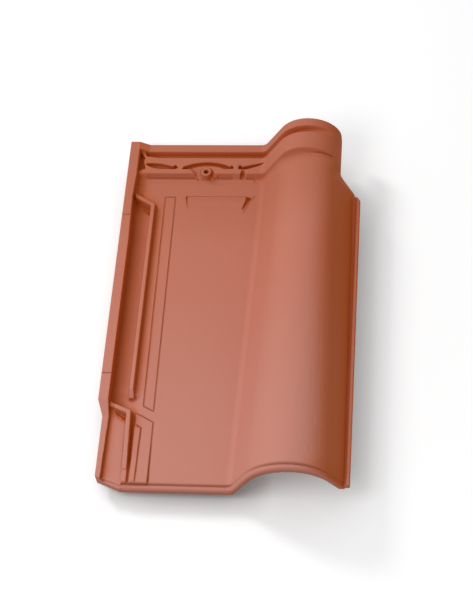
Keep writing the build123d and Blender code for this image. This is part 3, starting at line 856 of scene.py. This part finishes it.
class OBJECT_OT_tile_clay(Operator):
    """Makes the fired tile: rounded edges, pressed lines and its clay"""

    bl_idname = "object.tile_clay"
    bl_label = "Fired clay"

    def execute(self, context):
        tile = context.scene.roof_tile
        piece = linked("fired_tile", merged_copy(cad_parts[TILE_NODE], "fired_tile"))
        press(piece, tile, clay_material(tile))
        thin_out(piece, tile.most_triangles)
        keep_inside(piece.data, cad_box)
        even_shading(piece)
        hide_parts(TILE_NODE)
        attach(piece, TILE_BODY)
        return {"FINISHED"}


def studio_camera(stage):
    """The camera at the photograph's angle."""
    data = bpy.data.cameras.new("camera")
    camera = linked("camera", data)
    forward = Vector(
        (
            -sin(stage.azimuth) * cos(stage.elevation),
            cos(stage.azimuth) * cos(stage.elevation),
            -sin(stage.elevation),
        )
    )
    camera.location = Vector(stage.aim) - forward * stage.distance
    camera.rotation_mode = "QUATERNION"
    camera.rotation_quaternion = forward.to_track_quat("-Z", "Y") @ Quaternion((0, 0, 1), stage.roll)
    data.sensor_fit = "AUTO"
    data.sensor_width = SENSOR_WIDTH
    data.lens = SENSOR_WIDTH * stage.focal_share
    bpy.context.scene.camera = camera


def seen_directly(tree):
    """1 where the camera or a reflection shows a surface, 0 where it only lights others."""
    path = tree.node("ShaderNodeLightPath")
    seen = path.value("Is Camera Ray") + path.value("Is Glossy Ray") + path.value("Is Transmission Ray")
    return tree.node("ShaderNodeMath", {"operation": "MINIMUM"}, [seen, 1.0]).value()


def studio_floor(stage):
    """A wide pale floor under the tile, which keeps the tile's shadow and has a painted shadow darkened in
    beside the tile, on the side away from the key lamp.
    """
    half = stage.floor_width / 2
    mesh = bpy.data.meshes.new("floor")
    corners = [(-half, -half, 0), (half, -half, 0), (half, half, 0), (-half, half, 0)]
    mesh.from_pydata(corners, [], [(0, 1, 2, 3)])
    floor = linked("floor", mesh)
    material = bpy.data.materials.new("floor")
    material.use_nodes = True
    tree = Tree(material.node_tree)
    shader = material.node_tree.nodes["Principled BSDF"]
    shader.inputs["Roughness"].default_value = 0.9
    shader.inputs["Specular IOR Level"].default_value = 0.0
    shader.inputs["Emission Strength"].default_value = 1.0
    seen = seen_directly(tree)
    # Painted shadow: the floor is seen darker beside the tile where it lies away from the key lamp, and its
    # glow fades there too
    lampwards = tree.node("ShaderNodeCombineXYZ", None, list(Vector(stage.key_direction).normalized()))
    inputs = {"Distance": stage.painted_shadow_reach, "Normal": lampwards.out()}
    clear = tree.node("ShaderNodeAmbientOcclusion", {"samples": SHELTER_SAMPLES}, inputs).value("AO")
    shown = tree.mix(clear, solid_colour(stage.painted_shadow_colour), solid_colour(stage.floor_colour))
    tree.feed(shader.inputs["Base Color"], tree.mix(seen, solid_colour(stage.floor_bounce), shown))
    glow = tree.mix(seen * clear, (0, 0, 0, 1), solid_colour(stage.floor_glow))
    tree.feed(shader.inputs["Emission Color"], glow)
    mesh.materials.append(material)


def studio_lamp(name, direction, distance, size, level):
    """A round soft lamp that points at the tile; its level is what a white face turned to it shows."""
    data = bpy.data.lights.new(name, "AREA")
    data.shape = "DISK"
    data.size = size
    data.energy = level * (pi * distance) ** 2
    lamp = linked(name, data)
    lamp.location = Vector(direction).normalized() * distance
    lamp.rotation_mode = "QUATERNION"
    lamp.rotation_quaternion = (-lamp.location).to_track_quat("-Z", "Y")


def studio_world(stage):
    """Soft light from all round, and white where the camera or a reflection sees it."""
    world = bpy.data.worlds.new("studio")
    world.use_nodes = True
    tree = Tree(world.node_tree)
    seen = seen_directly(tree)
    background = world.node_tree.nodes["Background"]
    background.inputs["Color"].default_value = (1.0, 1.0, 1.0, 1.0)
    tree.feed(background.inputs["Strength"], stage.ambient + seen * (1.0 - stage.ambient))
    bpy.context.scene.world = world


class OBJECT_OT_tile_stage(Operator):
    """Sets the floor, the lamps, the world and the camera"""

    bl_idname = "object.tile_stage"
    bl_label = "Studio"

    def execute(self, context):
        stage = context.scene.tile_stage
        studio_camera(stage)
        studio_floor(stage)
        studio_lamp("key", stage.key_direction, stage.key_distance, stage.key_size, stage.key_level)
        studio_lamp("fill", stage.fill_direction, stage.fill_distance, stage.fill_size, stage.fill_level)
        studio_world(stage)
        context.scene.view_settings.view_transform = "Standard"
        return {"FINISHED"}


class VIEW3D_PT_roof_tile(Panel):
    """The tile's operators in the sidebar"""

    bl_label = "Clay Roof Tile"
    bl_space_type = "VIEW_3D"
    bl_region_type = "UI"
    bl_category = "Roof Tile"

    def draw(self, context):
        self.layout.operator("object.tile_clay")
        self.layout.operator("object.tile_stage")


CLASSES = (
    TileSettings,
    StageSettings,
    OBJECT_OT_tile_clay,
    OBJECT_OT_tile_stage,
    VIEW3D_PT_roof_tile,
)


def register():
    for entry in CLASSES:
        bpy.utils.register_class(entry)
    bpy.types.Scene.roof_tile = PointerProperty(type=TileSettings)
    bpy.types.Scene.tile_stage = PointerProperty(type=StageSettings)


def unregister():
    del bpy.types.Scene.tile_stage
    del bpy.types.Scene.roof_tile
    for entry in reversed(CLASSES):
        bpy.utils.unregister_class(entry)


def main():
    register()
    bpy.ops.object.tile_clay()
    bpy.ops.object.tile_stage()


if __name__ == "__main__":
    main()
